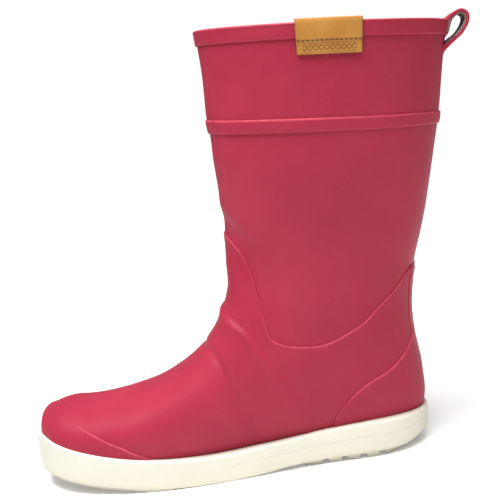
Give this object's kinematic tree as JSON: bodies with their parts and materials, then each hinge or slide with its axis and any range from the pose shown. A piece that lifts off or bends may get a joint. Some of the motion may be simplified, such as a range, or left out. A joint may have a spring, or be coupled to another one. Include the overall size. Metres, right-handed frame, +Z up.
{
  "type": "deck boot",
  "caption": "Calf-high rubber deck boot, left foot: red leg and vamp, cream cup sole with wavy tread and red inlay, leather label and rear pull loop.",
  "frame": {"origin": "middle of the heel tread, on the ground", "axes": "+Z up, toe towards -X, outer side of the foot towards -Y"},
  "size_m": [0.331, 0.1089, 0.29],
  "materials": {
    "sole": "fine matt cream rubber",
    "inlay": "matt red rubber",
    "foam": "grey cellular rubber",
    "board": "pressed fibre board",
    "footbed": "brushed textile on foam",
    "lining": "knitted cotton",
    "upper_rubber": "satin natural rubber",
    "label": "smooth veg-tanned leather",
    "thread": "waxed thread",
    "loop_textile": "woven tape"
  },
  "bodies": {
    "boot": {"outsole": "sole", "foxing": "sole", "forefoot_tread": "sole", "heel_tread": "sole", "tread_inlay": "inlay", "midsole_filler": "foam", "heel_wedge": "foam", "insole_board": "board", "sock_liner": "footbed", "foot_lining": "lining", "leg_lining": "lining", "vamp": "upper_rubber", "leg_shaft": "upper_rubber", "toe_cap": "upper_rubber", "toe_puff": "board", "heel_counter": "upper_rubber", "heel_stiffener": "board", "instep_strip": "board", "back_strip": "upper_rubber", "calf_band": "upper_rubber", "top_band": "upper_rubber", "label": "label", "label_stitches": "thread", "loop_anchors": "upper_rubber"},
    "loop": {"pull_loop": "upper_rubber", "pull_loop_lining": "loop_textile"}
  },
  "joints": [
    {"name": "loop_flex", "type": "hinge", "parent": "boot", "child": "loop", "pos_m": [0.0815, 0, 0.2645], "axis": [0, -1, 0], "range_deg": [-25, 35], "stiffness_Nm_per_rad": 0.02}
  ]
}
